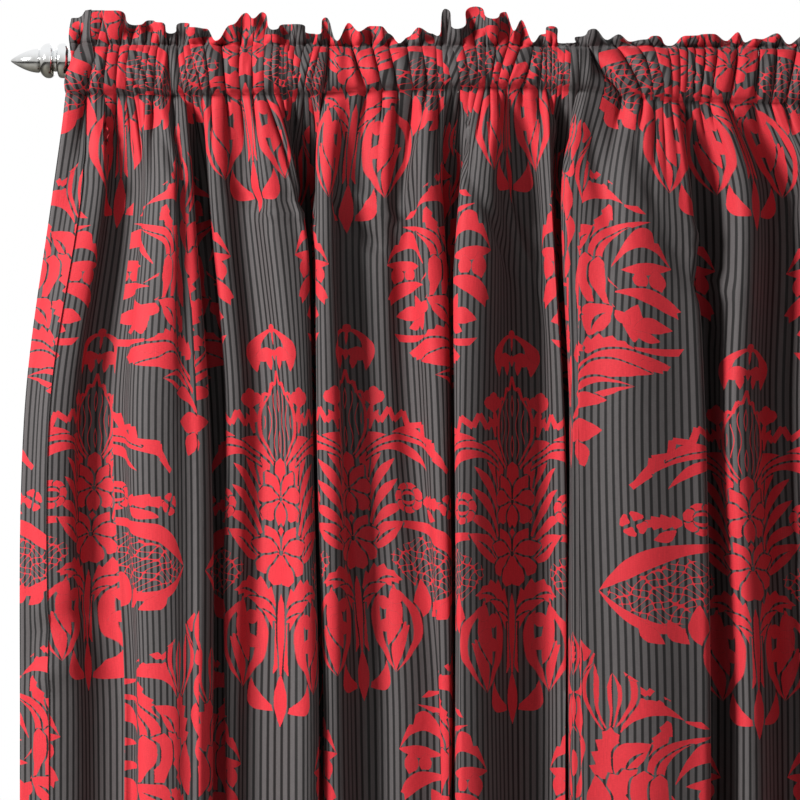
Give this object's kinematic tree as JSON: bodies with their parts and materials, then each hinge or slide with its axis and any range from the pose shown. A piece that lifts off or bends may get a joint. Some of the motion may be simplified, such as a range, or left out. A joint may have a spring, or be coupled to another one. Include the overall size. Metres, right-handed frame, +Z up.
{
  "type": "tape top curtain on curtain pole",
  "caption": "Tape top curtain of striped damask cloth, gathered on a metal pole with pointed finials, with a frilled header and a long drop in soft folds.",
  "frame": {"origin": "middle of the curtain pole's axis", "axes": "+X along the pole to the viewer's right, +Y towards the window or wall, -Y into the room, +Z up"},
  "size_m": [1.0866, 0.101, 2.1837],
  "materials": {
    "curtain_cloth": "jacquard, dark grey and near-black pinstripe with red damask",
    "tape": "woven, matte",
    "chrome": "polished"
  },
  "bodies": {
    "root": {"curtain_panel": "curtain_cloth", "heading_tape": "tape", "pole": "chrome", "finial_left": "chrome", "finial_right": "chrome"}
  },
  "joints": []
}
